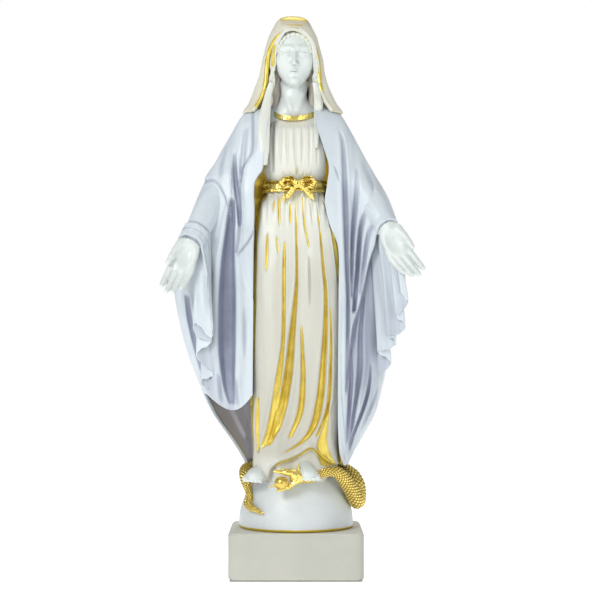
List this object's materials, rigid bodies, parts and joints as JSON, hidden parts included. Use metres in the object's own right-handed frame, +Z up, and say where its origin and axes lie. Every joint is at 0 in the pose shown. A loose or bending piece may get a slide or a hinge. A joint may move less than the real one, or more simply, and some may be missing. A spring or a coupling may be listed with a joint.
{
  "type": "madonna statue",
  "caption": "Standing veiled Madonna with open hands, in a gown and long mantle, on a half globe with a serpent, on a plain square block.",
  "frame": {"origin": "centre of the resting face, on the underside of the felt", "axes": "+Z up along the figure, the figure faces -Y, its left hand is at +X"},
  "size_m": [0.2265, 0.1105, 0.5008],
  "materials": {
    "felt": "dense green-grey felt",
    "block": "cream-grey cast stone block, matt",
    "steel": "zinc-plated steel",
    "brass_pin": "drawn brass pin",
    "globe_paint": "marble-dust casting, white paint with a cool tint, satin varnish",
    "gilding": "gold leaf and gold paint over the casting, bright on the high parts",
    "gown_paint": "marble-dust casting, ivory paint, gold in the deep folds, satin varnish",
    "mantle_paint": "marble-dust casting, pale blue-lilac paint, satin varnish",
    "skin_paint": "marble-dust casting, near-white paint, satin varnish",
    "veil_paint": "marble-dust casting, warm white paint with a gold rim, satin varnish"
  },
  "bodies": {
    "root": {"base_felt": "felt", "plinth": "block", "tie_rod": "steel", "tie_nut": "steel", "tie_washer": "steel", "globe": "globe_paint", "serpent": "gilding", "apple": "gilding", "gown": "gown_paint", "sash": "gilding", "bow": "gilding", "head": "skin_paint", "neck_band": "gilding", "veil": "veil_paint", "hair_right": "veil_paint", "hand_right": "skin_paint", "wrist_dowel_right": "brass_pin", "foot_right": "skin_paint", "sleeve_right": "mantle_paint", "hair_left": "veil_paint", "hand_left": "skin_paint", "wrist_dowel_left": "brass_pin", "foot_left": "skin_paint", "sleeve_left": "mantle_paint", "mantle": "mantle_paint"}
  },
  "joints": []
}
